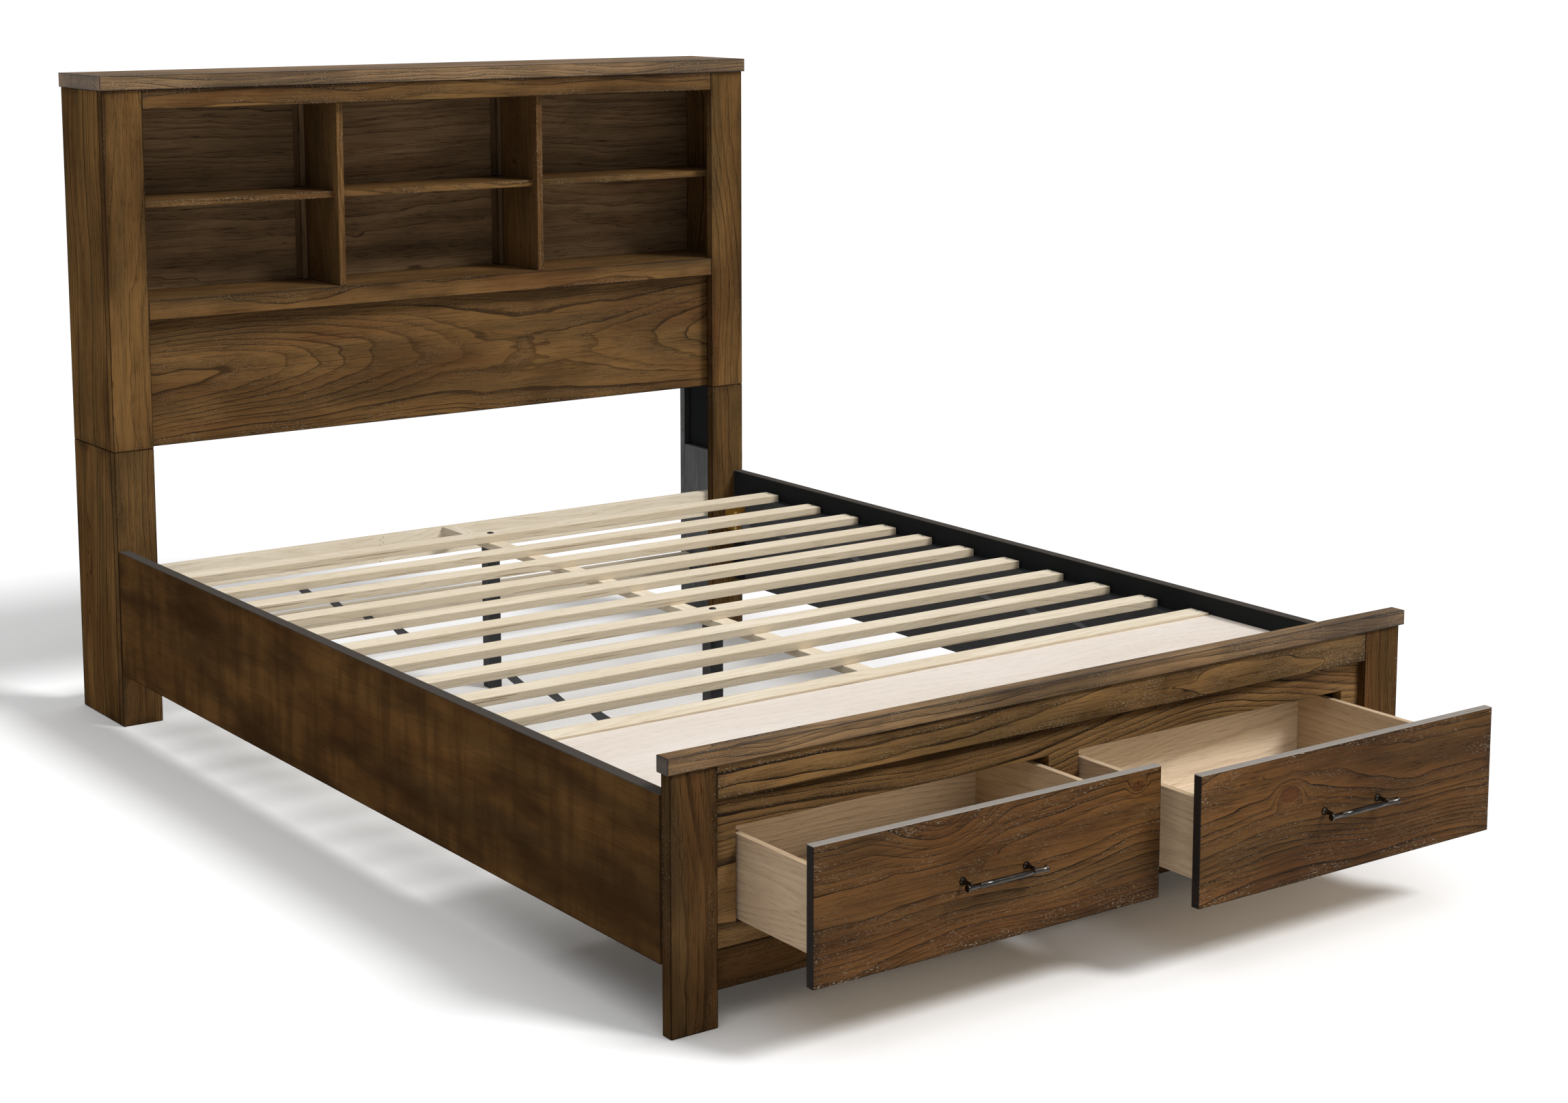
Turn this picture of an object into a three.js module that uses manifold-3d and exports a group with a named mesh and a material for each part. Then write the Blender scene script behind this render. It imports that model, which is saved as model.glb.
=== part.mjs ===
// Queen platform bed: a bookcase headboard on two box legs, side rails, a slatted
// mattress deck on a centre beam, and a footboard with two storage drawers.
// Millimetres, +Z up, -Y towards the footboard, +X to the right seen from the foot.
import * as THREE from 'three';
import { mergeVertices } from 'three/addons/utils/BufferGeometryUtils.js';
import Module from 'manifold-3d';

const wasm = await Module();
wasm.setup();

// ---------- driving dimensions ----------
// The layout is drawn with y = 0 at the front of the footboard posts. The finished
// part is then moved so that its origin is under the middle of the open bed.
const ORIGIN_Y = 989.875;

// headboard
const HEAD_FRONT = 2100;          // front face of the headboard stiles
const HEAD_BACK = 2320;           // back face of the headboard
const HEAD_HALF = 800;            // half of the headboard width
const HEAD_JOINT = 591;           // height where the bookcase stands on its legs
const CAP_TOP = 1375.5;
const CAP_THICK = 30;
const CAP_UNDER = CAP_TOP - CAP_THICK;
const CAP_SIDE = 5;               // overhang of the cap past the sides
const CAP_FRONT = 6.5;            // overhang of the cap past the front
const STILE_WIDE = 88;
const PANEL_THICK = 20;           // stiles, rails and side panels
const SIDE_IN = HEAD_HALF - PANEL_THICK;
const STILE_IN = HEAD_HALF - STILE_WIDE;
const FRAME_BACK = HEAD_FRONT + PANEL_THICK;
const TOP_RAIL_DROP = 42;
const SHELF_FLOOR = 903;          // top of the lowest shelf
const BOTTOM_RAIL_TALL = 40.5;
const FLOOR_THICK = 16;
const BACK_PANEL = [2304, 2312];
const DIVIDER_X = [244, 259];
const SHELF_Z = [1096, 1110];
const SHELF_SETBACK = 18;
const LOWER_PANEL_Y = [2126, 2142];

// headboard legs
const LINING_IN = 765;            // inner face of the leg lining and rear batten
const LINING_TOP = 417;
const BATTEN_FRONT = 2300;
const UPPER_CROSS_Z = [272, 332];
const LOWER_CROSS_Z = [85, 145];

// side rails and mattress support
const RAIL_X = [775.5, 797.5];
const RAIL_Z = [113, 380];
const LEDGER_X = [755.5, 775.5];
const LEDGER_Y = [40, 2025];
const SLAT_HALF_LONG = 770;
const SLAT_WIDE = 50;
const SLAT_Z = [334, 350];
const SLAT_PITCH = 142;
const HEAD_SLAT_Y = 1931;
const MIDDLE_SLAT_Y = 1054;
const FOOT_ROLL_Y = [0, 1, 2, 3].map((i) => 486 + i * SLAT_PITCH);
const HEAD_ROLL_Y = [1205, 1205 + SLAT_PITCH].concat([0, 1, 2].map((i) => 1476 + i * SLAT_PITCH));
const STRAP_X = 550;              // centre of each strap that joins a roll of slats
const STRAP_WIDE = 18;
const STRAP_Z = [333, 334.5];
const BEAM_HALF = 18;
const BEAM_Z = [319, SLAT_Z[0]];
const LEG_HALF = 15;

// footboard
const POST_OUT = 795;
const POST_IN = 709;
const POST_THICK = 24;
const FOOT_CAP_Z = [415.5, 442.5];
const FOOT_CAP_Y = [-6.5, 25];
const FOOT_CAP_HALF = 803;
const FOOT_RAIL_UNDER = 360;
const FACE_Y = [15, 35];
const BOTTOM_RAIL_Z = [53, 118];
const OPENING_X = [33, 665];
const OPENING_Z = [155, 308];
const DECK_Z = [334, 345];
const BAY_BACK_Y = [441, 461];

// drawers
const OPEN_LEFT = 222.5;          // how far each drawer is drawn in this pose
const OPEN_RIGHT = 302;
const FRONT_X = [5, 694.5];
const FRONT_Z = [127, 346];
const FRONT_THICK = 16.5;
const BOX_X = [39, 659];
const BOX_Z = [157, 293];
const BOX_LONG = 400;
const BOX_THICK = 12;
const BOX_BOTTOM_Z = [160, 166];
const BAY_FLOOR_Z = [144.5, 156.5];
const BAY_FLOOR_HALF = 690;

// bar pull
const PULL_HALF = 80;
const PULL_POSTS = 63;            // half of the spacing of the two posts
const PULL_STANDOFF = 30.5;
const PULL_RADIUS = 4.75;
const PULL_END_RADIUS = 6.25;
const PULL_STRAIGHT = 74;         // half length of the slim middle of the bar
const PULL_FLANGE = 6.5;
const ROUND_SIDES = 16;

// corner bracket
const BRACKET_Z = [232, 300];
const BRACKET_IN = 749;
const BRACKET_END = 2032;
const BRACKET_THICK = 2.5;

// ---------- materials ----------
const material = (color, roughness, metalness = 0) =>
  new THREE.MeshStandardMaterial({ color, roughness, metalness });
const walnut = material(0x5b3d22, 0.55);
const blackWood = material(0x1d1f21, 0.6);
const pine = material(0xe6dabd, 0.7);
const plywood = material(0xe9dfd4, 0.7);
const birch = material(0xb49a7c, 0.6);
const bronze = material(0x1a1714, 0.35, 0.8);
const brass = material(0x9a7b35, 0.4, 0.9);

// ---------- building blocks ----------
const bed = new THREE.Group();
bed.position.y = -ORIGIN_Y;

function addMesh(parent, name, geometry, finish) {
  const mesh = new THREE.Mesh(geometry, finish);
  mesh.name = name;
  parent.add(mesh);
  return mesh;
}

function boxGeometry([x0, x1], [y0, y1], [z0, z1]) {
  const geometry = new THREE.BoxGeometry(x1 - x0, y1 - y0, z1 - z0);
  return geometry.translate((x0 + x1) / 2, (y0 + y1) / 2, (z0 + z1) / 2);
}

function board(name, x, y, z, finish, parent = bed) {
  return addMesh(parent, name, boxGeometry(x, y, z), finish);
}

// One board on each side of the bed: x is given for the right-hand one.
function boardPair(name, x, y, z, finish) {
  board(`${name}_right`, x, y, z, finish);
  board(`${name}_left`, [-x[1], -x[0]], y, z, finish);
}

function toSolid(geometry) {
  const bare = geometry.clone();
  bare.deleteAttribute('normal');
  bare.deleteAttribute('uv');
  const merged = mergeVertices(bare);
  return new wasm.Manifold(new wasm.Mesh({
    numProp: 3,
    vertProperties: new Float32Array(merged.attributes.position.array),
    triVerts: new Uint32Array(merged.index.array),
  }));
}

function toGeometry(solid) {
  const mesh = solid.getMesh();
  const geometry = new THREE.BufferGeometry();
  geometry.setAttribute('position', new THREE.BufferAttribute(mesh.vertProperties, 3));
  geometry.setIndex(new THREE.BufferAttribute(mesh.triVerts, 1));
  return geometry;
}

function joined(geometries) {
  return toGeometry(geometries.map(toSolid).reduce((whole, piece) => whole.add(piece)));
}

// ---------- headboard ----------
function makeBookcase() {
  const frameY = [HEAD_FRONT, FRAME_BACK];
  const insideY = [FRAME_BACK, BACK_PANEL[0]];
  const shelfY = [FRAME_BACK + SHELF_SETBACK, BACK_PANEL[0]];
  const upperZ = [HEAD_JOINT, CAP_UNDER];
  board('headboard_cap', [-HEAD_HALF - CAP_SIDE, HEAD_HALF + CAP_SIDE],
    [HEAD_FRONT - CAP_FRONT, HEAD_BACK], [CAP_UNDER, CAP_TOP], walnut);
  boardPair('headboard_stile', [STILE_IN, HEAD_HALF], frameY, upperZ, walnut);
  boardPair('headboard_side_panel', [SIDE_IN, HEAD_HALF], [FRAME_BACK, HEAD_BACK], upperZ, walnut);
  board('headboard_top_rail', [-STILE_IN, STILE_IN], frameY,
    [CAP_UNDER - TOP_RAIL_DROP, CAP_UNDER], walnut);
  board('headboard_bottom_rail', [-STILE_IN, STILE_IN], frameY,
    [SHELF_FLOOR - BOTTOM_RAIL_TALL, SHELF_FLOOR], walnut);
  board('headboard_bottom_shelf', [-SIDE_IN, SIDE_IN], insideY,
    [SHELF_FLOOR - FLOOR_THICK, SHELF_FLOOR], walnut);
  boardPair('headboard_divider', DIVIDER_X, insideY, [SHELF_FLOOR, CAP_UNDER], walnut);
  boardPair('headboard_shelf', [DIVIDER_X[1], SIDE_IN], shelfY, SHELF_Z, walnut);
  board('headboard_shelf_middle', [-DIVIDER_X[0], DIVIDER_X[0]], shelfY, SHELF_Z, walnut);
  board('headboard_back_panel', [-SIDE_IN, SIDE_IN], BACK_PANEL, upperZ, walnut);
  board('headboard_lower_panel', [-SIDE_IN, SIDE_IN], LOWER_PANEL_Y,
    [HEAD_JOINT, SHELF_FLOOR - FLOOR_THICK], walnut);
}

function makeHeadLegs() {
  const legZ = [0, HEAD_JOINT];
  const crossX = [-LINING_IN, LINING_IN];
  boardPair('head_leg_stile', [STILE_IN, HEAD_HALF], [HEAD_FRONT, FRAME_BACK], legZ, walnut);
  boardPair('head_leg_side_panel', [SIDE_IN, HEAD_HALF], [FRAME_BACK, HEAD_BACK], legZ, walnut);
  boardPair('head_leg_rear_batten', [LINING_IN, SIDE_IN], [BATTEN_FRONT, HEAD_BACK], legZ,
    blackWood);
  boardPair('head_leg_lining', [LINING_IN, SIDE_IN], [FRAME_BACK, BATTEN_FRONT],
    [0, LINING_TOP], blackWood);
  board('head_cross_rail_upper', crossX, [FRAME_BACK, FRAME_BACK + PANEL_THICK],
    UPPER_CROSS_Z, pine);
  board('head_cross_rail_lower', crossX, [BATTEN_FRONT - PANEL_THICK, BATTEN_FRONT],
    LOWER_CROSS_Z, pine);
}

// ---------- rails and mattress support ----------
function makeSideRails() {
  boardPair('side_rail', RAIL_X, [POST_THICK, HEAD_FRONT], RAIL_Z, walnut);
  boardPair('slat_ledger', LEDGER_X, LEDGER_Y, [RAIL_Z[0], SLAT_Z[0]], blackWood);
}

// An angle plate in the corner between a side rail and a headboard stile.
function makeBrackets() {
  const [inner, outer] = [BRACKET_IN, RAIL_X[0]];
  for (const [side, sign] of [['right', 1], ['left', -1]]) {
    const outline = [
      [inner, HEAD_FRONT - BRACKET_THICK],
      [outer - BRACKET_THICK, HEAD_FRONT - BRACKET_THICK],
      [outer - BRACKET_THICK, BRACKET_END],
      [outer, BRACKET_END],
      [outer, HEAD_FRONT],
      [inner, HEAD_FRONT],
    ].map(([x, y]) => new THREE.Vector2(sign * x, y));
    const plate = new THREE.ExtrudeGeometry(new THREE.Shape(outline),
      { depth: BRACKET_Z[1] - BRACKET_Z[0], bevelEnabled: false });
    addMesh(bed, `rail_bracket_${side}`, plate.translate(0, 0, BRACKET_Z[0]), brass);
  }
}

function slatGeometry(centreY) {
  return boxGeometry([-SLAT_HALF_LONG, SLAT_HALF_LONG],
    [centreY - SLAT_WIDE / 2, centreY + SLAT_WIDE / 2], SLAT_Z);
}

// A roll of slats held at their spacing by two straps under them.
function slatRoll(centres) {
  const strapY = [centres[0], centres[centres.length - 1]];
  const straps = [-STRAP_X, STRAP_X].map((x) =>
    boxGeometry([x - STRAP_WIDE / 2, x + STRAP_WIDE / 2], strapY, STRAP_Z));
  return joined([...centres.map(slatGeometry), ...straps]);
}

function makeSlats() {
  addMesh(bed, 'slat_head', slatGeometry(HEAD_SLAT_Y), pine);
  addMesh(bed, 'slat_middle', slatGeometry(MIDDLE_SLAT_Y), pine);
  addMesh(bed, 'slat_roll_head', slatRoll(HEAD_ROLL_Y), pine);
  addMesh(bed, 'slat_roll_foot', slatRoll(FOOT_ROLL_Y), pine);
  board('centre_beam', [-BEAM_HALF, BEAM_HALF], [BAY_BACK_Y[1], FRAME_BACK], BEAM_Z, pine);
  for (const [name, y] of [['head', HEAD_SLAT_Y], ['middle', MIDDLE_SLAT_Y]]) {
    board(`support_leg_${name}`, [-LEG_HALF, LEG_HALF], [y - LEG_HALF, y + LEG_HALF],
      [0, BEAM_Z[0]], blackWood);
  }
}

// ---------- footboard and drawer bay ----------
function makeFaceFrame() {
  const panel = boxGeometry([-POST_IN, POST_IN], FACE_Y, [BOTTOM_RAIL_Z[1], FOOT_RAIL_UNDER]);
  const cutY = [FACE_Y[0] - 1, FACE_Y[1] + 1];
  const right = boxGeometry(OPENING_X, cutY, OPENING_Z);
  const left = boxGeometry([-OPENING_X[1], -OPENING_X[0]], cutY, OPENING_Z);
  const solid = toSolid(panel).subtract(toSolid(right)).subtract(toSolid(left));
  addMesh(bed, 'drawer_face_frame', toGeometry(solid), walnut);
}

function makeFootboard() {
  const postY = [0, POST_THICK];
  boardPair('footboard_post', [POST_IN, POST_OUT], postY, [0, FOOT_CAP_Z[0]], walnut);
  board('footboard_cap', [-FOOT_CAP_HALF, FOOT_CAP_HALF], FOOT_CAP_Y, FOOT_CAP_Z, walnut);
  board('footboard_top_rail', [-POST_IN, POST_IN], postY, [FOOT_RAIL_UNDER, FOOT_CAP_Z[0]], walnut);
  board('footboard_bottom_rail', [-POST_IN, POST_IN], FACE_Y, BOTTOM_RAIL_Z, walnut);
  makeFaceFrame();
  board('foot_deck', [-RAIL_X[0], RAIL_X[0]], [FACE_Y[1], BAY_BACK_Y[1]], DECK_Z, plywood);
  board('drawer_bay_back', [-LEDGER_X[0], LEDGER_X[0]], BAY_BACK_Y, [RAIL_Z[0], DECK_Z[0]],
    blackWood);
  board('drawer_bay_floor', [-BAY_FLOOR_HALF, BAY_FLOOR_HALF], [FACE_Y[1], BAY_BACK_Y[0]],
    BAY_FLOOR_Z, plywood);
}

// ---------- drawers ----------
// A round bar with flared ends on two posts with bell-shaped flanges, seen from the
// front as a bar along x; its foot stands on the plane y = 0.
function pullGeometry() {
  const lathe = (points) =>
    new THREE.LatheGeometry(points.map(([r, h]) => new THREE.Vector2(r, h)), ROUND_SIDES);
  const bar = lathe([
    [0, -PULL_HALF], [PULL_END_RADIUS, -PULL_HALF], [PULL_RADIUS, -PULL_STRAIGHT],
    [PULL_RADIUS, PULL_STRAIGHT], [PULL_END_RADIUS, PULL_HALF], [0, PULL_HALF],
  ]).rotateZ(-Math.PI / 2).translate(0, -PULL_STANDOFF, 0);
  const post = lathe([
    [0, 0], [PULL_FLANGE, 0], [PULL_FLANGE - 1.5, 3], [PULL_RADIUS - 1, 11],
    [PULL_RADIUS - 1, PULL_STANDOFF], [0, PULL_STANDOFF],
  ]).rotateX(Math.PI);
  const posts = [-PULL_POSTS, PULL_POSTS].map((x) =>
    post.clone().translate(x, 0, 0));
  return joined([bar, ...posts]);
}

// The drawer on one side: sign is -1 for the left one and 1 for the right one.
function makeDrawer(side, sign, open) {
  const drawer = new THREE.Group();
  drawer.position.y = FACE_Y[0] - open;
  bed.add(drawer);
  const mirrored = ([a, b]) => (sign > 0 ? [a, b] : [-b, -a]);
  const name = (piece) => `drawer_${side}_${piece}`;
  const [left, right] = mirrored(BOX_X);
  const insideX = [left + BOX_THICK, right - BOX_THICK];
  const backFront = BOX_LONG - BOX_THICK;
  board(name('front'), mirrored(FRONT_X), [-FRONT_THICK, 0], FRONT_Z, walnut, drawer);
  board(name('left_side'), [left, insideX[0]], [0, BOX_LONG], BOX_Z, birch, drawer);
  board(name('right_side'), [insideX[1], right], [0, BOX_LONG], BOX_Z, birch, drawer);
  board(name('back'), insideX, [backFront, BOX_LONG], BOX_Z, birch, drawer);
  board(name('bottom'), insideX, [0, backFront], BOX_BOTTOM_Z, birch, drawer);
  const pull = addMesh(drawer, name('pull'), pullGeometry(), bronze);
  pull.position.set(sign * (FRONT_X[0] + FRONT_X[1]) / 2, -FRONT_THICK,
    (FRONT_Z[0] + FRONT_Z[1]) / 2);
}

makeBookcase();
makeHeadLegs();
makeSideRails();
makeBrackets();
makeSlats();
makeFootboard();
makeDrawer('left', -1, OPEN_LEFT);
makeDrawer('right', 1, OPEN_RIGHT);

export default bed;
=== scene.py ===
import math
import bmesh
import bpy
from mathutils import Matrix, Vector


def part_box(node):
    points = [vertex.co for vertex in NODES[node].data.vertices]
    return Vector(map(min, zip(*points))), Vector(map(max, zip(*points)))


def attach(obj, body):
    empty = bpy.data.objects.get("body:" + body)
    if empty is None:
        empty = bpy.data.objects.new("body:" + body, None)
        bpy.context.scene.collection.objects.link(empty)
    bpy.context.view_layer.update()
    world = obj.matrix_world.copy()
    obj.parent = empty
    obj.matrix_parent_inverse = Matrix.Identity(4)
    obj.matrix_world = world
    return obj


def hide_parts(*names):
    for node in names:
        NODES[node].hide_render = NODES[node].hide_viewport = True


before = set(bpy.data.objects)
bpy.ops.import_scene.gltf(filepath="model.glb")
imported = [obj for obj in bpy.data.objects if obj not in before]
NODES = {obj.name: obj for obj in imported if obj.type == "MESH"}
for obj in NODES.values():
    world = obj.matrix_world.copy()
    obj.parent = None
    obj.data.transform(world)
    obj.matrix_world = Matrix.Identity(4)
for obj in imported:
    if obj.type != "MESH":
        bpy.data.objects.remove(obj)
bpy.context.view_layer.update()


# ---------------------------------------------------------------- shader helpers

class Shade:
    """A material being built: small calls that add one node each and return its output."""

    def __init__(self, name):
        self.mat = bpy.data.materials.new(name)
        self.mat.use_nodes = True
        self.nodes = self.mat.node_tree.nodes
        self.links = self.mat.node_tree.links
        self.bsdf = self.nodes["Principled BSDF"]

    def put(self, socket, value):
        if isinstance(value, bpy.types.NodeSocket):
            self.links.new(value, socket)
        else:
            socket.default_value = value

    def math(self, op, a, b=0.0):
        n = self.nodes.new("ShaderNodeMath")
        n.operation = op
        self.put(n.inputs[0], a)
        self.put(n.inputs[1], b)
        return n.outputs[0]

    def add(self, a, b):
        return self.math("ADD", a, b)

    def mul(self, a, b):
        return self.math("MULTIPLY", a, b)

    def step(self, value, low, high, out_low=0.0, out_high=1.0):
        n = self.nodes.new("ShaderNodeMapRange")
        n.interpolation_type = "SMOOTHSTEP"
        for i, v in enumerate((value, low, high, out_low, out_high)):
            self.put(n.inputs[i], v)
        return n.outputs[0]

    def vector(self, x, y, z):
        n = self.nodes.new("ShaderNodeCombineXYZ")
        for i, v in enumerate((x, y, z)):
            self.put(n.inputs[i], v)
        return n.outputs[0]

    def noise(self, vector, detail=3.0):
        n = self.nodes.new("ShaderNodeTexNoise")
        self.put(n.inputs["Vector"], vector)
        n.inputs["Scale"].default_value = 1.0
        n.inputs["Detail"].default_value = detail
        n.inputs["Roughness"].default_value = 0.55
        return n.outputs["Fac"]

    def mix(self, fac, a, b):
        n = self.nodes.new("ShaderNodeMix")
        n.data_type = "RGBA"
        self.put(n.inputs[0], fac)
        for socket, v in ((n.inputs[6], a), (n.inputs[7], b)):
            self.put(socket, v if isinstance(v, bpy.types.NodeSocket) else (*v, 1.0))
        return n.outputs[2]

    def coords(self):
        n = self.nodes.new("ShaderNodeTexCoord")
        s = self.nodes.new("ShaderNodeSeparateXYZ")
        self.links.new(n.outputs["Object"], s.inputs[0])
        return list(s.outputs)

    def bump(self, height, distance, strength):
        n = self.nodes.new("ShaderNodeBump")
        n.inputs["Strength"].default_value = strength
        n.inputs["Distance"].default_value = distance
        self.put(n.inputs["Height"], height)
        self.put(self.bsdf.inputs["Normal"], n.outputs[0])


# A look is a stain and a cut of wood. light, mid, dark, pore, fleck, cool and warm are colours; spacing, depth and
# arch are the rings' spacing, the pith's depth behind the board and how far it wanders, in metres; mottle is how
# many blotches there are to the metre; the rest say how strongly each feature shows.
WALNUT = dict(light=(0.180, 0.095, 0.032), mid=(0.092, 0.046, 0.016), dark=(0.014, 0.008, 0.004),
              pore=(0.008, 0.005, 0.003), fleck=(0.34, 0.28, 0.20), cool=(0.060, 0.042, 0.018),
              warm=(0.120, 0.047, 0.015), line=0.85, shade=0.22, pores=0.80, fibre=0.60, spacing=0.009,
              depth=0.090, arch=0.005, rough=0.50, edge=0.85, flecks=0.35, worn=0.15, mottle=2.6, gloss=0.0,
              tint=0.45, burn=0.50)
FRONT = dict(WALNUT, line=1.0, shade=0.36, flecks=0.85, worn=0.38, spacing=0.0105, arch=0.020, depth=0.075,
             gloss=0.04)
DRAWER = dict(FRONT, light=(0.134, 0.060, 0.018), mid=(0.066, 0.028, 0.009), tint=0.30, arch=0.014, flecks=0.9)
FACE = dict(FRONT, light=(0.275, 0.152, 0.056), mid=(0.145, 0.077, 0.029), flecks=1.0, worn=0.55, arch=0.008)
SHELF = dict(FRONT, line=0.55, shade=0.20, edge=0.15, burn=0.0)
RAILING = dict(FRONT, line=0.70, shade=0.25, arch=0.008)
CAP = dict(FRONT, light=(0.290, 0.172, 0.078), mid=(0.165, 0.096, 0.043), flecks=1.0, worn=0.80, gloss=0.25,
           arch=0.008)
# darker walnut for the footboard posts; the footboard bottom rail wears it too, as painted shade for the drawers'
# shadow
POST_AND_SHADED_RAIL = dict(WALNUT, light=(0.112, 0.056, 0.020), mid=(0.056, 0.027, 0.010), line=0.60, shade=0.15)
BACK = dict(WALNUT, light=(0.280, 0.172, 0.088), mid=(0.150, 0.094, 0.050), line=0.65, shade=0.24, spacing=0.017,
            depth=0.12, arch=0.014, flecks=0.0, tint=0.30, burn=0.2, wander=0.4)
PANEL = dict(FRONT, line=0.78, shade=0.22, spacing=0.0082, arch=0.005, wander=0.30)
STILE = dict(WALNUT, line=0.60, shade=0.15)
LEG = dict(STILE, light=(0.150, 0.082, 0.030), mid=(0.076, 0.040, 0.015))
RAIL = dict(WALNUT, light=(0.126, 0.062, 0.020), mid=(0.040, 0.020, 0.008), line=0.10, shade=0.10, pores=0.15,
            fibre=0.30, spacing=0.03, arch=0.06, mottle=3.0, rough=0.46, flecks=0.0, figure=0.50, tint=0.2, burn=0.2)
PINE = dict(light=(0.74, 0.66, 0.53), mid=(0.68, 0.59, 0.45), dark=(0.52, 0.41, 0.27), pore=(0.22, 0.14, 0.08),
            fleck=(0.9, 0.85, 0.72), line=0.30, shade=0.25, pores=0.30, fibre=0.30, spacing=0.009, depth=0.05,
            arch=0.016, rough=0.66, edge=0.12, flecks=0.0, mottle=2.5, gloss=0.25)
# slats with darker long sides: painted shade, as the sides get less light than the tops
SLAT = dict(PINE, sides=((0.44, 0.35, 0.23), 0.60))
PLYWOOD = dict(PINE, light=(0.71, 0.64, 0.575), mid=(0.67, 0.595, 0.525), dark=(0.56, 0.46, 0.38), line=0.12,
               shade=0.10, pores=0.10, spacing=0.02, arch=0.03, depth=0.12)
BIRCH = dict(PINE, light=(0.58, 0.44, 0.29), mid=(0.48, 0.35, 0.225), dark=(0.34, 0.23, 0.14),
             pore=(0.13, 0.08, 0.04), line=0.35, shade=0.25, pores=0.35, fibre=0.55, spacing=0.008, rough=0.55)
# a paler copy of the birch: painted light, standing in for the light that fills the drawers' insides
BIRCH_PAINTED_LIGHT = dict(BIRCH, light=(0.90, 0.76, 0.58), mid=(0.82, 0.68, 0.51), dark=(0.50, 0.38, 0.25))
BLACK = dict(light=(0.020, 0.022, 0.025), mid=(0.013, 0.014, 0.016), dark=(0.008, 0.008, 0.009),
             pore=(0.004, 0.004, 0.004), fleck=(0.10, 0.10, 0.10), line=0.2, shade=0.2, pores=0.3, fibre=0.5,
             spacing=0.012, depth=0.08, arch=0.02, rough=0.50, edge=0.0, flecks=0.10, worn=0.1, mottle=3.0, gloss=0.4)
LINING = dict(BLACK, light=(0.085, 0.088, 0.087), mid=(0.040, 0.043, 0.044), mottle=7.0)


LINE_WIDE = 0.0029  # width in metres of the dark line at the end of each year's growth, seen along the rings
KNOT = (0.075, 0.024, 0.009)
END_BLACK = (0.012, 0.011, 0.011)


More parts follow.
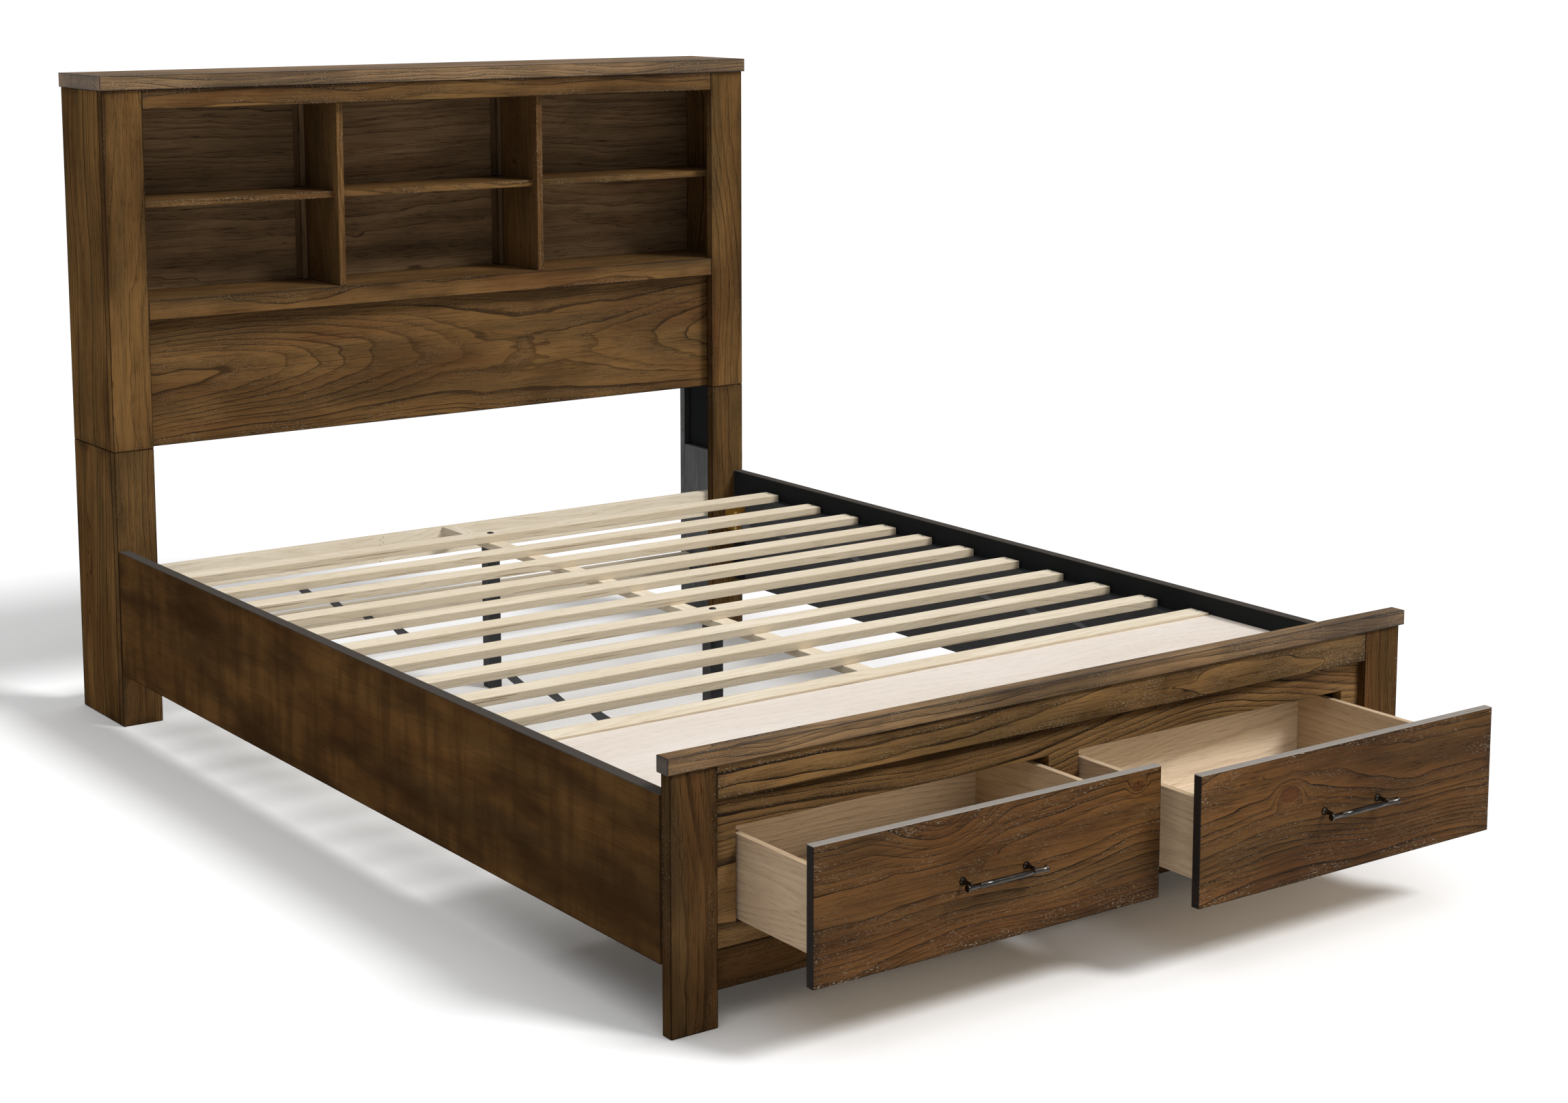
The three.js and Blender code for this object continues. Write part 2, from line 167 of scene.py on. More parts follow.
def wood(name, box, grain, thin, seed, look, end_dark=0.0, painted=(), knots=()):
    """Sawn board: rings round a pith that wanders behind the board, pores, fibres, mottling and worn edges.

    grain is the axis the fibres run along and thin the axis of the board's thickness. end_dark says how dark
    the two ends are. painted lists faces with a colour of their own, each as (axis, -1 or 1, colour): black paint on
    inner faces, and painted highlights and sheen on some top faces.
    knots lists places where the rings close round a knot or an arch, each as (place along the grain, place
    across it, half length, half width, rise, redness), with the places measured from the board's middle.
    """
    s = Shade(name)
    lo, hi = box
    across = ({0, 1, 2} - {grain, thin}).pop()
    p = s.coords()
    local = [s.add(p[i], -(lo[i] + hi[i]) / 2) for i in range(3)]
    u, v, w = local[grain], local[across], local[thin]
    off = seed * 3.71

    # the rings: distance from a pith that wanders slowly, with a finer wave and the knots added
    slow = s.noise(s.vector(s.add(s.mul(u, 1.3), off), s.mul(v, 1.2), off), detail=1.0)
    slow_v = s.noise(s.vector(s.add(s.mul(u, 1.3), off + 9.0), off, 0.0), detail=1.0)
    wave = s.noise(s.vector(s.add(s.mul(u, 6.0), off), s.mul(v, 22.0), s.mul(w, 22.0)), detail=2.0)
    pith_v = s.mul(s.add(slow_v, -0.5 + 0.25 * math.sin(seed * 2.3)), 0.22 * look.get("wander", 1.0))
    dv = s.add(v, pith_v)
    dw = s.add(s.add(w, look["depth"]), s.mul(s.add(slow, -0.5), look["arch"] * 4.0))
    radius = s.math("SQRT", s.add(s.mul(dv, dv), s.mul(dw, dw)))
    radius = s.add(radius, s.mul(s.add(wave, -0.5), look["spacing"] * 1.3))
    slope = s.math("MINIMUM", s.add(s.math("DIVIDE", s.math("ABSOLUTE", dv), radius), 0.08), 0.7)
    hearts = []
    for place_u, place_v, half_u, half_v, rise, red in knots:
        du, dk = s.mul(s.add(u, -place_u), 1.0 / half_u), s.mul(s.add(v, -place_v), 1.0 / half_v)
        reach = s.math("SQRT", s.add(s.mul(du, du), s.mul(dk, dk)))
        near = s.step(reach, 1.0, 0.0)
        radius = s.add(radius, s.mul(near, rise))
        slope = s.math("MAXIMUM", slope, s.mul(s.step(reach, 1.1, 0.8), min(rise / half_v, 0.7)))
        hearts.append(s.mul(s.step(reach, 0.50, 0.30), red))
    drift = s.noise(s.vector(s.mul(radius, 38.0), off, 0.0), detail=1.0)
    ring = s.math("FRACT", s.add(s.mul(radius, 1.0 / look["spacing"]), s.mul(drift, 3.0)))
    width = s.add(s.mul(slope, LINE_WIDE / look["spacing"]), 0.012)
    line = s.mul(s.step(ring, 0.0, 0.02), s.step(ring, width, s.mul(width, 0.3)))
    uneven = s.noise(s.vector(s.mul(radius, 45.0), s.add(s.mul(u, 2.1), off), s.mul(v, 3.0)), detail=2.0)
    line = s.mul(line, s.step(uneven, 0.32, 0.60, 0.30, 1.0))
    shade = s.mul(s.step(ring, 0.03, 0.12), s.step(ring, 0.95, 0.10))

    # fibres and pores, drawn out along the grain, and blotches of stain
    fibre = s.noise(s.vector(s.add(s.mul(u, 7.0), off), s.mul(v, 420.0), s.mul(w, 420.0)), detail=2.0)
    pore = s.noise(s.vector(s.add(s.mul(u, 32.0), off), s.mul(v, 900.0), s.mul(w, 900.0)), detail=1.0)
    pore = s.mul(s.step(pore, 0.58, 0.72), s.add(s.mul(shade, 0.55), 0.45))
    spot = s.noise(s.vector(s.add(s.mul(u, look["mottle"]), off), s.mul(v, look["mottle"] * 3), s.mul(w, 4.0)))

    colour = s.mix(s.step(spot, 0.30, 0.70), look["mid"], look["light"])
    if "cool" in look:
        patch = s.noise(s.vector(s.add(s.mul(u, 1.6), off + 5.0), s.mul(v, 16.0), s.mul(w, 16.0)), detail=3.0)
        colour = s.mix(s.step(patch, 0.48, 0.70, 0.0, look["tint"]), colour, look["cool"])
        colour = s.mix(s.step(patch, 0.47, 0.30, 0.0, look["tint"]), colour, look["warm"])
    if "figure" in look:
        ripple = s.noise(s.vector(s.add(s.mul(u, 26.0), off), s.mul(v, 4.0), s.mul(w, 4.0)), detail=2.0)
        colour = s.mix(s.step(ripple, 0.42, 0.66, 0.0, look["figure"]), colour, look["mid"])
    for heart in hearts:
        colour = s.mix(heart, colour, KNOT)
    colour = s.mix(s.mul(shade, look["shade"]), colour, look["dark"])
    colour = s.mix(s.mul(line, look["line"]), colour, look["dark"])
    colour = s.mix(s.mul(s.step(fibre, 0.46, 0.80), look["fibre"]), colour, look["dark"])
    colour = s.mix(s.mul(pore, look["pores"]), colour, look["pore"])

    # middle is the second least of the distances to the faces, so on a face it is the distance to an arris
    gaps = [s.add(s.mul(s.math("ABSOLUTE", local[i]), -1.0), (hi[i] - lo[i]) / 2) for i in range(3)]
    least = s.math("MINIMUM", s.math("MINIMUM", gaps[0], gaps[1]), gaps[2])
    most = s.math("MAXIMUM", s.math("MAXIMUM", gaps[0], gaps[1]), gaps[2])
    total = s.add(s.add(gaps[0], gaps[1]), gaps[2])
    middle = s.add(total, s.mul(s.add(least, most), -1.0))
    rim = s.step(middle, 0.0027, 0.0007)
    if "burn" in look:
        smudge = s.mul(s.step(middle, 0.024, 0.001), s.step(spot, 0.60, 0.36))
        colour = s.mix(s.mul(smudge, look["burn"]), colour, look["dark"])
    colour = s.mix(s.mul(rim, look["edge"]), colour, look["dark"])
    if look["flecks"]:
        chip = s.noise(s.vector(s.add(s.mul(u, 210.0), off), s.mul(v, 900.0), s.mul(w, 900.0)), detail=1.0)
        wear = s.noise(s.vector(s.add(s.mul(u, 9.0), off), s.mul(v, 20.0), off), detail=1.0)
        close = s.step(middle, 0.030, 0.002, look["worn"], 1.0)
        row_of_pores = s.add(s.mul(shade, 0.80), 0.20)
        chips = s.mul(s.mul(s.step(chip, 0.60, 0.70), s.step(wear, 0.36, 0.58)), s.mul(close, row_of_pores))
        colour = s.mix(s.mul(chips, look["flecks"]), colour, look["fleck"])
    if end_dark:
        colour = s.mix(s.step(gaps[grain], 0.0012, 0.0006, 0.0, end_dark), colour, END_BLACK)

    # darker long sides on the slats: painted shade, as the sides get less light than the tops; cracks are drawn along
    # them too
    if "sides" in look:
        tone, amount = look["sides"]
        side = s.step(gaps[across], 0.0022, 0.0012)
        colour = s.mix(s.mul(side, amount), colour, tone)
        crack = s.noise(s.vector(s.add(s.mul(u, 5.0), off), s.mul(w, 260.0), off), detail=1.0)
        colour = s.mix(s.mul(side, s.step(crack, 0.66, 0.70, 0.0, 0.8)), colour, look["pore"])
    # faces with a colour of their own: black paint on inner faces, and painted highlights and sheen on some top faces
    for axis, sign, paint in painted:
        near = s.step(s.add(s.mul(local[axis], -sign), (hi[axis] - lo[axis]) / 2), 0.0016, 0.0012)
        colour = s.mix(near, colour, paint)

    s.put(s.bsdf.inputs["Base Color"], colour)
    s.bsdf.inputs["Specular IOR Level"].default_value = look["gloss"]
    rough = s.add(s.mul(fibre, 0.22), look["rough"] - 0.10)
    s.put(s.bsdf.inputs["Roughness"], s.add(rough, s.mul(pore, 0.2)))
    s.bump(s.add(s.mul(pore, -1.0), s.add(s.mul(line, -0.5), s.mul(fibre, 0.35))), 0.0004, 0.8)
    return s.mat


def metal(name, colour, rough, worn, grain=60.0, scratch=0.5):
    """Plated or patinated metal with soft blotches and fine scratches."""
    s = Shade(name)
    p = s.coords()
    blotch = s.noise(s.vector(*[s.mul(c, grain) for c in p]), detail=3.0)
    fine = s.noise(s.vector(*[s.mul(c, grain * 22) for c in p]), detail=2.0)
    s.put(s.bsdf.inputs["Base Color"], s.mix(s.step(blotch, 0.35, 0.7), colour, worn))
    s.put(s.bsdf.inputs["Roughness"], s.add(s.mul(fine, 0.16), rough - 0.06))
    s.bsdf.inputs["Metallic"].default_value = 1.0
    s.bump(fine, 0.00008, scratch)
    return s.mat


WARP_STEP, WEFT_STEP = 0.0016, 0.0022


def webbing(name):
    """Black woven strap: ribs along the strap crossed by a finer weft."""
    s = Shade(name)
    x, y, _ = s.coords()
    warp = s.math("SINE", s.mul(x, 2 * math.pi / WARP_STEP))
    weft = s.math("SINE", s.mul(y, 2 * math.pi / WEFT_STEP))
    weave = s.mul(warp, weft)
    dark, pale = (0.008, 0.008, 0.009), (0.03, 0.03, 0.032)
    s.put(s.bsdf.inputs["Base Color"], s.mix(s.step(weave, -0.8, 0.8), dark, pale))
    s.put(s.bsdf.inputs["Roughness"], s.add(s.mul(weave, 0.08), 0.8))
    s.bump(weave, 0.0003, 0.8)
    return s.mat


# ---------------------------------------------------------------- mesh helpers

WELD_REACH, SHARP_ANGLE = 0.00002, 35


def piece(name, bm, material, body, bevel=0.0):
    bmesh.ops.recalc_face_normals(bm, faces=bm.faces)
    mesh = bpy.data.meshes.new(name)
    bm.to_mesh(mesh)
    bm.free()
    obj = bpy.data.objects.new(name, mesh)
    bpy.context.scene.collection.objects.link(obj)
    mesh.materials.append(material)
    if bevel:
        soften(obj, bevel)
    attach(obj, body)
    return obj


def soften(obj, width):
    """Eased arrises: the weld joins the split corners so that the bevel finds the edges."""
    weld = obj.modifiers.new("weld", "WELD")
    weld.merge_threshold = WELD_REACH
    bevel = obj.modifiers.new("bevel", "BEVEL")
    bevel.width = width
    bevel.segments = 2
    bevel.limit_method = "ANGLE"
    bevel.angle_limit = math.radians(SHARP_ANGLE)


def block(bm, lo, hi, cuts=0, axis=0, wobble=None):
    """A board, cut along one axis and moved by wobble(t) at each cut, so that it isn't dead straight."""
    verts = []
    count = cuts + 2
    cross = [i for i in range(3) if i != axis]
    for k in range(count):
        t = k / (count - 1)
        shift = wobble(t) if wobble else (0, 0, 0)
        ring = []
        for a, b in ((0, 0), (1, 0), (1, 1), (0, 1)):
            co = [0.0, 0.0, 0.0]
            co[axis] = lo[axis] + (hi[axis] - lo[axis]) * t
            co[cross[0]] = (lo, hi)[a][cross[0]]
            co[cross[1]] = (lo, hi)[b][cross[1]]
            ring.append(bm.verts.new([co[i] + shift[i] for i in range(3)]))
        verts.append(ring)
    for a, b in zip(verts, verts[1:]):
        for i in range(4):
            bm.faces.new((a[i], a[(i + 1) % 4], b[(i + 1) % 4], b[i]))
    bm.faces.new(verts[0])
    bm.faces.new(verts[-1])


def turned(bm, profile, centre, axis, sides):
    """A turned form: (distance along the axis, radius) pairs swept round the axis from centre."""
    turn = Vector((0, 0, 1)).rotation_difference(Vector(axis)).to_matrix()
    rings = []
    for along, radius in profile:
        ring = []
        for k in range(sides):
            a = 2 * math.pi * k / sides
            point = turn @ Vector((radius * math.cos(a), radius * math.sin(a), along))
            ring.append(bm.verts.new(Vector(centre) + point))
        rings.append(ring)
    faces = []
    for a, b in zip(rings, rings[1:]):
        for i in range(sides):
            faces.append(bm.faces.new((a[i], a[(i + 1) % sides], b[(i + 1) % sides], b[i])))
    bm.faces.new(rings[0])
    bm.faces.new(rings[-1])
    for f in faces:
        f.smooth = True


SCREW_RADIUS, SCREW_HEIGHT = 0.0034, 0.0012


def screw_head(bm, centre):
    """A countersunk screw's head, looking up: a low dome with a sunk middle."""
    radius, height = SCREW_RADIUS, SCREW_HEIGHT
    turned(bm, [(-0.001, radius * 0.9), (0, radius), (height * 0.6, radius * 0.96), (height, radius * 0.78),
                (height, radius * 0.40), (height * 0.35, radius * 0.30)], centre, (0, 0, 1), 20)


# ---------------------------------------------------------------- the CAD nodes' materials

# part of a node's name: its look, the axis of its grain and the axis of its thickness. The first that fits is used.
LOOKS = {
    # footboard_bottom_rail takes the darker post look as painted shade for the drawers' shadow over it
    "head_leg_stile": (LEG, 2, 1), "footboard_bottom_rail": (POST_AND_SHADED_RAIL, 0, 1), "footboard_top_rail": (FACE, 0, 1),
    "back_panel": (BACK, 0, 1), "lower_panel": (PANEL, 0, 1), "side_rail": (RAIL, 1, 0), "foot_deck": (PLYWOOD, 0, 2),
    "support_leg": (BLACK, 2, 0), "slat_ledger": (BLACK, 1, 0), "drawer_bay_back": (BLACK, 0, 1),
    "rear_batten": (LINING, 2, 0), "lining": (LINING, 2, 0), "cross_rail": (PINE, 0, 1), "centre_beam": (PINE, 1, 2),
    "slat_": (SLAT, 0, 2), "bay_floor": (PLYWOOD, 0, 2), "side_panel": (WALNUT, 2, 0), "divider": (SHELF, 2, 0),
    "shelf": (SHELF, 0, 2), "_cap": (CAP, 0, 2), "stile": (STILE, 2, 1), "footboard_post": (POST_AND_SHADED_RAIL, 2, 1),
    "_rail": (RAILING, 0, 1), "face_frame": (FACE, 0, 1),
}
FINE_EDGED = (PINE, SLAT, BIRCH, BIRCH_PAINTED_LIGHT, PLYWOOD, BLACK)
KNOTS = {
    "drawer_right_front": ((-0.145, 0.044, 0.052, 0.036, 0.030, 0.75), (0.210, -0.120, 0.260, 0.120, 0.040, 0.0)),
    "drawer_left_front": ((-0.103, 0.100, 0.150, 0.085, 0.050, 0.25), (0.295, 0.085, 0.030, 0.022, 0.020, 0.8),
                          (-0.020, -0.150, 0.300, 0.120, 0.045, 0.0)),
    "headboard_lower_panel": ((0.250, -0.020, 0.950, 0.170, 0.060, 0.0),),
}

# Faces with a colour of their own: painted inner faces; the rails' dark top edges, lightened as a painted sheen; and
# the leg linings' and drawer fronts' top edges, made pale as painted highlights.
INK, DARK_TOP_WITH_SHEEN = (0.019, 0.021, 0.021), (0.062, 0.054, 0.047)
PALE_TOP_HIGHLIGHT, TOP_EDGE_HIGHLIGHT = (0.17, 0.17, 0.165), (0.26, 0.235, 0.21)
PAINTED = {
    # the drawer fronts' top faces are pale as a painted highlight, where light catches them
    "drawer_left_front": ((2, 1, TOP_EDGE_HIGHLIGHT),), "drawer_right_front": ((2, 1, TOP_EDGE_HIGHLIGHT),),
    # the rails: inner faces painted black; top faces dark brown-grey, lightened by a painted sheen
    "side_rail_left": ((0, 1, INK), (2, 1, DARK_TOP_WITH_SHEEN)), "side_rail_right": ((0, -1, INK), (2, 1, DARK_TOP_WITH_SHEEN)),
    "head_leg_side_panel_left": ((0, 1, INK),), "head_leg_side_panel_right": ((0, -1, INK),),
    # the linings' top faces are pale as a painted highlight
    "head_leg_lining_left": ((2, 1, PALE_TOP_HIGHLIGHT),), "head_leg_lining_right": ((2, 1, PALE_TOP_HIGHLIGHT),),
}
DARK_ENDS = {"drawer_left_front": 0.9, "drawer_right_front": 0.9, "footboard_cap": 0.75}


def look_of(name):
    if name.startswith(("drawer_left_", "drawer_right_")):
        if name.endswith("_front"):
            return DRAWER, 0, 1
        if name.endswith("_side"):
            return BIRCH, 1, 0
        # drawer bottoms and backs use the paler birch, as painted light for the light inside the drawers
        return (BIRCH_PAINTED_LIGHT, 0, 2) if name.endswith("_bottom") else (BIRCH_PAINTED_LIGHT, 0, 1)
    for part, entry in LOOKS.items():
        if part in name:
            return entry
    return None


brass = metal("brass_plate", (0.42, 0.27, 0.08), 0.30, (0.60, 0.43, 0.17))
bronze = metal("bronze_patina", (0.052, 0.048, 0.044), 0.19, (0.085, 0.072, 0.060), 30.0, 0.06)
steel = metal("screw_steel", (0.30, 0.30, 0.31), 0.35, (0.45, 0.45, 0.45))
# dark steel for the bolts and the finger joint's lines; it also darkens the pilot holes, as painted shade
dark_steel_and_hole_shade = metal("bolt_steel_and_hole_shade", (0.030, 0.028, 0.026), 0.35, (0.07, 0.065, 0.06))
strap_black = webbing("strap_webbing")

for index, name in enumerate(sorted(NODES)):
    obj = NODES[name]
    entry = look_of(name)
    if name.startswith("rail_bracket"):
        obj.data.materials.clear()
        obj.data.materials.append(brass)
        soften(obj, 0.0006)
    elif entry:
        look, grain, thin = entry
        obj.data.materials.clear()
        obj.data.materials.append(wood(name + "_wood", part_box(name), grain, thin, index + 1, look,
                                       DARK_ENDS.get(name, 0.0), PAINTED.get(name, ()), KNOTS.get(name, ())))
        soften(obj, 0.0010 if look in FINE_EDGED else 0.0014)


# ---------------------------------------------------------------- slats and their straps

POST_FRONT = 989.875  # from the middle of the bed's box to the foot posts' front, in millimetres


def row(y):
    """A place measured in millimetres from the foot posts' front towards the head, as a y in metres."""
    return (y - POST_FRONT) / 1000.0


SLAT_HALF, SLAT_THICK, SLAT_END_GAP = 0.0248, 0.0158, 0.001
SLAT_BOW, SLAT_DIP, SLAT_DROP = 0.0014, 0.0005, 0.0006


def slat_wobble(seed):
    """A slat's bow sideways and its smaller dip, at the share t of its length."""
    return lambda t: (0.0, SLAT_BOW * math.sin(seed * 1.7 + 3.1 * t),
                      SLAT_DIP * math.sin(seed * 2.9 + 5.0 * t) - SLAT_DROP)


def make_slat(name, centre, seed, node):
    lo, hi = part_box(node)
    y = row(centre)
    bm = bmesh.new()
    low = (lo[0] + SLAT_END_GAP, y - SLAT_HALF, hi[2] - SLAT_THICK)
    high = (hi[0] - SLAT_END_GAP, y + SLAT_HALF, hi[2])
    block(bm, low, high, cuts=14, axis=0, wobble=slat_wobble(seed))
    slat = piece(name, bm, wood(name + "_wood", (low, high), 0, 2, seed, SLAT), "bed", 0.0009)
    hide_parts(node)


STRAP_X, STRAP_LAP = 0.55, 20
STRAP_STEPS, STRAP_HALF, STRAP_THICK, STRAP_RISE = 14, 0.0100, 0.0010, 0.0006
STRAP_SAG, STRAP_TWIST = 0.008, 0.30


def make_strap(name, x, start, end, seed, node):
    """One stretch of webbing between two slats: it sags and turns a little."""
    bm = bmesh.new()
    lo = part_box(node)[0]
    rows = []
    for k in range(STRAP_STEPS + 1):
        t = k / STRAP_STEPS
        y = row(start + (end - start) * t)
        sag = STRAP_SAG * math.sin(math.pi * t)
        twist = STRAP_TWIST * math.sin(math.pi * t) * math.sin(seed * 1.9)
        z = lo[2] + STRAP_RISE - sag
        for thick in (0.0, STRAP_THICK):
            for side in (-1, 1):
                aside, above = side * STRAP_HALF * math.cos(twist), side * STRAP_HALF * math.sin(twist)
                rows.append(bm.verts.new((x + aside, y, z + above + thick)))
    for k in range(STRAP_STEPS):
        a, b = rows[4 * k:4 * k + 4], rows[4 * k + 4:4 * k + 8]
        for i, j in ((0, 1), (1, 3), (3, 2), (2, 0)):
            bm.faces.new((a[i], a[j], b[j], b[i]))
    for end_row in (rows[:4], rows[-4:]):
        bm.faces.new((end_row[0], end_row[1], end_row[3], end_row[2]))
    strap = piece(name, bm, strap_black, "bed")
    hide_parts(node)


# the middles of the slats, from the foot posts' front, in millimetres
LOOSE_SLATS = (1931, 1054)
ROLLS = {"slat_roll_foot": (486, 628, 770, 912), "slat_roll_head": (1205, 1347, 1476, 1618, 1760)}
for node, centres in ROLLS.items():
    for k, centre in enumerate(centres):
        make_slat(f"{node}_slat_{k + 1}", centre, centre / 61.0, node)
    for k, (a, b) in enumerate(zip(centres, centres[1:])):
        for side, x in (("left", -STRAP_X), ("right", STRAP_X)):
            make_strap(f"{node}_strap_{side}_{k + 1}", x, a + STRAP_LAP, b - STRAP_LAP, k * 2 + (x > 0) + 1, node)


# ---------------------------------------------------------------- small hardware

slat_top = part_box("slat_middle")[1][2]
slat_ys = [row(c) for centres in ROLLS.values() for c in centres] + [row(c) for c in LOOSE_SLATS]
SCREW_X, SCREW_SCATTER, SCREW_SINK, BOLT_SINK = 0.7625, 0.006, 0.0007, 0.0004
bm = bmesh.new()
for k, y in enumerate(sorted(slat_ys)):
    for side in (-1, 1):
        screw_head(bm, (side * SCREW_X, y + SCREW_SCATTER * math.sin(k * 2.1), slat_top - SCREW_SINK))
piece("slat_screws", bm, steel, "bed")

bm = bmesh.new()
for centre in LOOSE_SLATS:
    turned(bm, [(-0.001, 0.0068), (0.0004, 0.0076), (0.0018, 0.0070), (0.0026, 0.0048), (0.0028, 0.0020)],
           (0, row(centre), slat_top - BOLT_SINK), (0, 0, 1), 24)
piece("leg_bolts", bm, dark_steel_and_hole_shade, "bed")

BRACKET_BOLT_HEIGHTS, BRACKET_BOLT_OFFSET = (0.249, 0.283), 0.010
bm = bmesh.new()
for side in ("left", "right"):
    lo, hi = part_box("rail_bracket_" + side)
    inward = 1 if side == "left" else -1
    face = hi[0] if side == "left" else lo[0]
    for z in BRACKET_BOLT_HEIGHTS:
        turned(bm, [(0, 0.0062), (0.0006, 0.0064), (0.0030, 0.0056), (0.0040, 0.0034)],
               (face - inward * 0.001, (lo[1] + hi[1]) / 2 - BRACKET_BOLT_OFFSET, z), (inward, 0, 0), 20)
piece("bracket_bolts", bm, brass, "bed", 0.0003)


HOLE_RADIUS, HOLE_HEIGHTS = 0.0032, (0.175, 0.300, 0.450, 0.500, 0.560)


def pilot_holes(name, places, axis):
    """Pilot holes, drawn as dark shallow rings 0.2 mm proud so that they show on the flat face; the dark is painted
    shade.
    """
    profile = [(0.0, HOLE_RADIUS), (0.0002, HOLE_RADIUS), (0.0002, HOLE_RADIUS * 0.7), (0.00005, HOLE_RADIUS * 0.6)]
    bm = bmesh.new()
    for place in places:
        turned(bm, profile, place, axis, 18)
    piece(name, bm, dark_steel_and_hole_shade, "bed")


for side, inward in (("left", 1), ("right", -1)):
    lo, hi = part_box("head_leg_rear_batten_" + side)
    face = hi[0] if inward > 0 else lo[0]
    holes = [(face, (lo[1] + hi[1]) / 2, z) for z in HOLE_HEIGHTS]
    pilot_holes(f"batten_holes_{side}", holes, (inward, 0, 0))

# the sawn fingers of the joint in the upper cross rail, as short dark lines that step to and fro
FINGERS, FINGER_STEP, FINGER_X, FINGER_SWING, FINGER_HALF = 10, 0.006, -0.172, 0.004, 0.0028
rail_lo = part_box("head_cross_rail_upper")[0]
fingers = bmesh.new()
for k in range(FINGERS):
    z = rail_lo[2] + FINGER_STEP / 2 + k * FINGER_STEP
    x = FINGER_X + (FINGER_SWING if k % 2 else -FINGER_SWING)
    block(fingers, (x - 0.0003, rail_lo[1] - 0.0002, z - FINGER_HALF),
          (x + 0.0003, rail_lo[1] + 0.0004, z + FINGER_HALF))
piece("rail_finger_joint", fingers, dark_steel_and_hole_shade, "bed")


# ---------------------------------------------------------------- strips at the back of the shelves

STRIP_WIDE, STRIP_DEEP, STRIP_END_GAP, STRIP_SEED, CAP_BOTTOM = 0.016, 0.028, 0.0005, 36, 1.3455
back_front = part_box("headboard_back_panel")[0][1]
shelf_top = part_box("headboard_bottom_shelf")[1][2]
middle_lo, middle_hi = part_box("headboard_shelf_middle")
for k, (x, side) in enumerate(((-0.275, "left"), (0.228, "right"))):
    for part, low, high in (("lower", shelf_top, middle_lo[2]), ("upper", middle_hi[2], CAP_BOTTOM)):
        bm = bmesh.new()
        a = (x, back_front - STRIP_DEEP, low + STRIP_END_GAP)
        b = (x + STRIP_WIDE, back_front - 0.0002, high - STRIP_END_GAP)
        block(bm, a, b)
        name = f"shelf_strip_{side}_{part}"
        strip_wood = wood(name + "_wood", (a, b), 2, 0, STRIP_SEED + k * 3, BACK)
        piece(name, bm, strip_wood, "bed", 0.0012)


# ---------------------------------------------------------------- drawer pulls

# profiles as (distance along, radius): half of the bar, with its end button and a neck, and a post's shaft
HALF_BAR = [(-0.0800, 0.0045), (-0.0796, 0.0058), (-0.0785, 0.0062), (-0.0772, 0.0062), (-0.0762, 0.0052),
            (-0.0745, 0.0046), (-0.0545, 0.0046), (-0.0540, 0.0039), (-0.0530, 0.0039), (-0.0525, 0.0046),
            (-0.030, 0.0046), (0.0, 0.0046)]
BAR = HALF_BAR + [(-along, radius) for along, radius in reversed(HALF_BAR[:-1])]
POST_LENGTH, POST_FOOT, POST_OFFSET = 0.0305, 0.0066, 0.063
POST_SHAFT = [(0.0, 0.0032), (0.014, 0.0032), (0.0200, 0.0036), (0.0250, 0.0046), (0.0280, 0.0060),
              (0.0292, POST_FOOT)]


def make_pull(side):
    """A bar pull: a turned bar on two posts that flare where they meet the drawer's front."""
    node = f"drawer_{side}_pull"
    lo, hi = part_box(node)
    centre_x, centre_z = (lo[0] + hi[0]) / 2, (lo[2] + hi[2]) / 2
    bar_y = hi[1] - POST_LENGTH
    bm = bmesh.new()
    turned(bm, BAR, (centre_x, bar_y, centre_z), (1, 0, 0), 32)
    post = POST_SHAFT + [(hi[1] - bar_y, POST_FOOT)]
    for offset in (-POST_OFFSET, POST_OFFSET):
        turned(bm, post, (centre_x + offset, bar_y, centre_z), (0, 1, 0), 28)
    pull = piece(f"pull_{side}", bm, bronze, f"drawer_{side}")
    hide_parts(node)


make_pull("left")
make_pull("right")


# ---------------------------------------------------------------- floor, light and camera

FLOOR_HALF, FLOOR_DROP, FLOOR_TONE = 150.0, 0.0004, 0.90


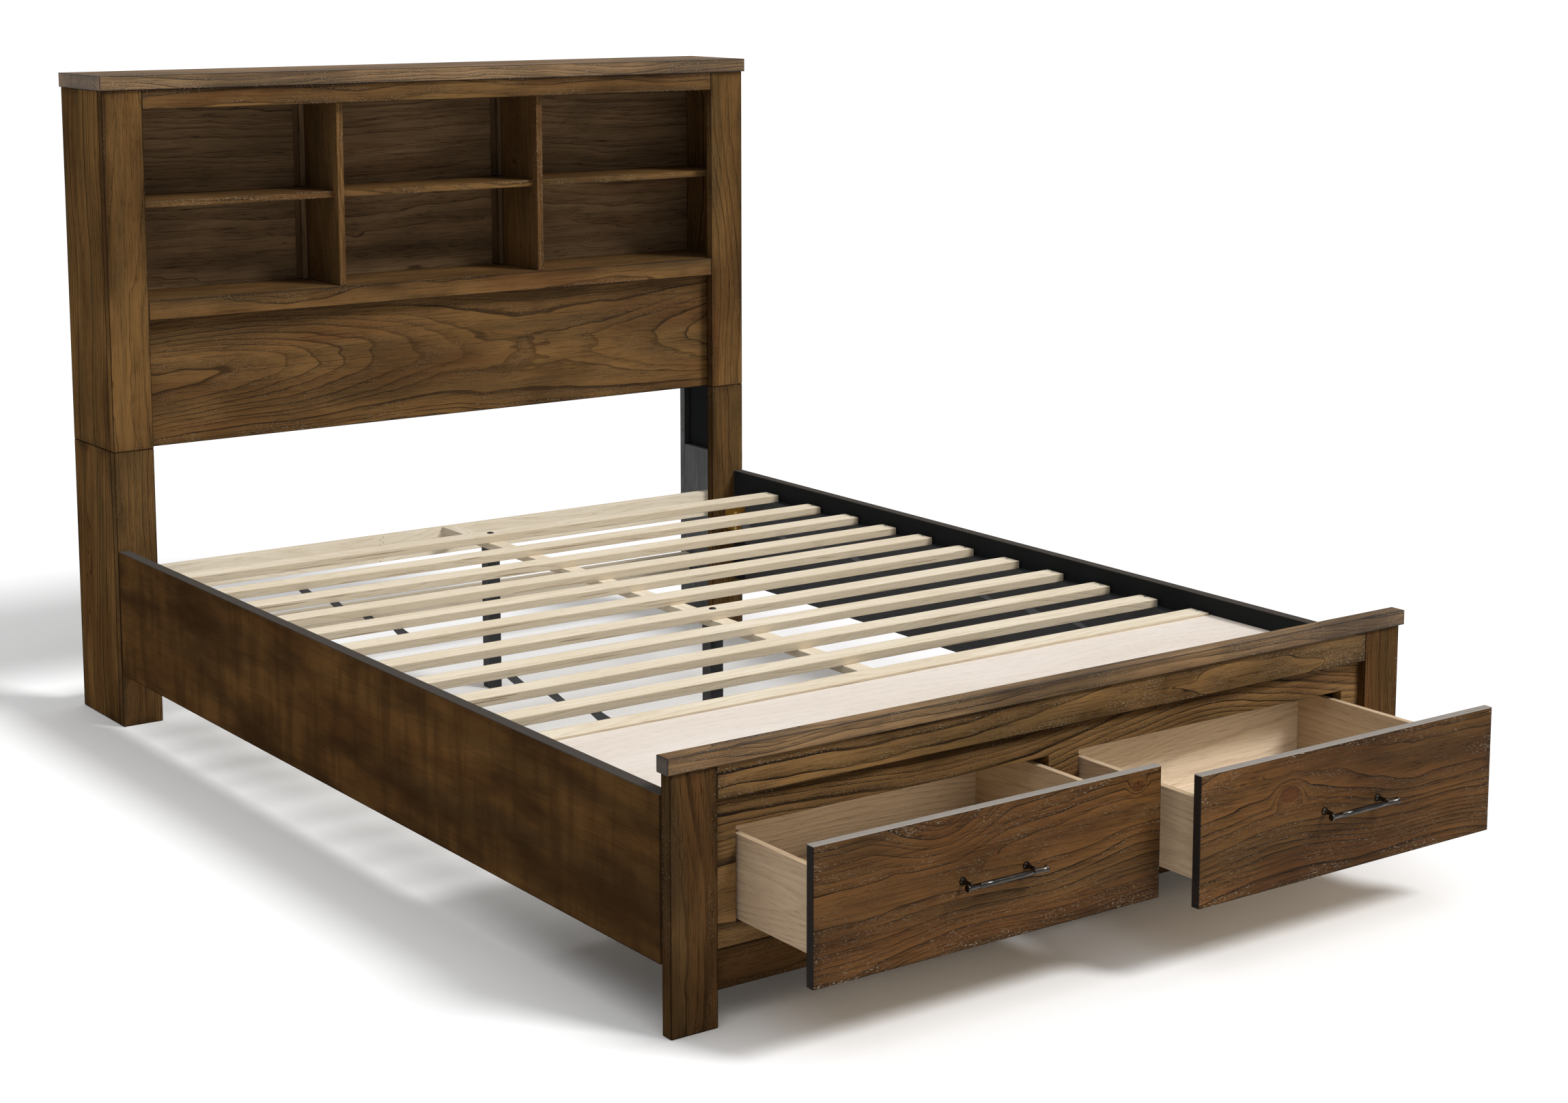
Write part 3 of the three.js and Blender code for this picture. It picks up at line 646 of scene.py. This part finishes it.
def make_floor():
    bm = bmesh.new()
    bmesh.ops.create_grid(bm, x_segments=2, y_segments=2, size=FLOOR_HALF)
    mesh = bpy.data.meshes.new("studio_floor")
    bm.to_mesh(mesh)
    bm.free()
    floor = bpy.data.objects.new("studio_floor", mesh)
    floor.location.z = -FLOOR_DROP
    bpy.context.scene.collection.objects.link(floor)
    s = Shade("studio_floor")
    s.bsdf.inputs["Base Color"].default_value = (FLOOR_TONE, FLOOR_TONE, FLOOR_TONE, 1)
    s.bsdf.inputs["Roughness"].default_value = 0.9
    s.bsdf.inputs["Specular IOR Level"].default_value = 0.1
    mesh.materials.append(s.mat)


def make_sun(name, direction, energy, angle):
    """A soft sun: direction is the way its light travels, angle its width in degrees."""
    data = bpy.data.lights.new(name, "SUN")
    data.energy = energy
    data.angle = math.radians(angle)
    obj = bpy.data.objects.new(name, data)
    d = Vector(direction).normalized()
    obj.location = Vector((0, 0, 0.5)) - d * 7.0
    obj.rotation_euler = d.to_track_quat("-Z", "Y").to_euler()
    bpy.context.scene.collection.objects.link(obj)


make_floor()
make_sun("key", (-0.52, 0.86, -1.02), 2.35, 16)
make_sun("overhead", (0.06, 0.22, -1.0), 1.45, 80)

# the sky lights the bed weakly and is seen as plain white
SKY_LIGHT, SKY_SEEN = 0.30, 1.0
world = bpy.data.worlds.new("studio")
world.use_nodes = True
links, sky = world.node_tree.links, world.node_tree.nodes
seen, shown = sky.new("ShaderNodeLightPath"), sky.new("ShaderNodeMix")
shown.inputs[2].default_value, shown.inputs[3].default_value = SKY_LIGHT, SKY_SEEN
links.new(seen.outputs["Is Camera Ray"], shown.inputs[0])
links.new(shown.outputs[0], sky["Background"].inputs[1])
sky["Background"].inputs[0].default_value = (1.0, 1.0, 1.0, 1)
bpy.context.scene.world = world
bpy.context.scene.view_settings.view_transform = "Standard"

# lens and sensor width in millimetres, shift as a share of the picture's width, yaw and pitch in degrees
LENS, SENSOR, SHIFT_Y = 63.235, 36.0, -0.12
CAMERA_PLACE, YAW, PITCH = (-2.9728, -4.3090, 1.6289), -35.73, -8.51
camera = bpy.data.cameras.new("camera")
camera.sensor_fit = "HORIZONTAL"
camera.sensor_width = SENSOR
camera.lens = LENS
camera.shift_y = SHIFT_Y
camera.clip_end = 500.0
eye = bpy.data.objects.new("camera", camera)
eye.location = CAMERA_PLACE
eye.rotation_euler = (math.radians(90.0 + PITCH), 0.0, math.radians(YAW))
bpy.context.scene.collection.objects.link(eye)
bpy.context.scene.camera = eye
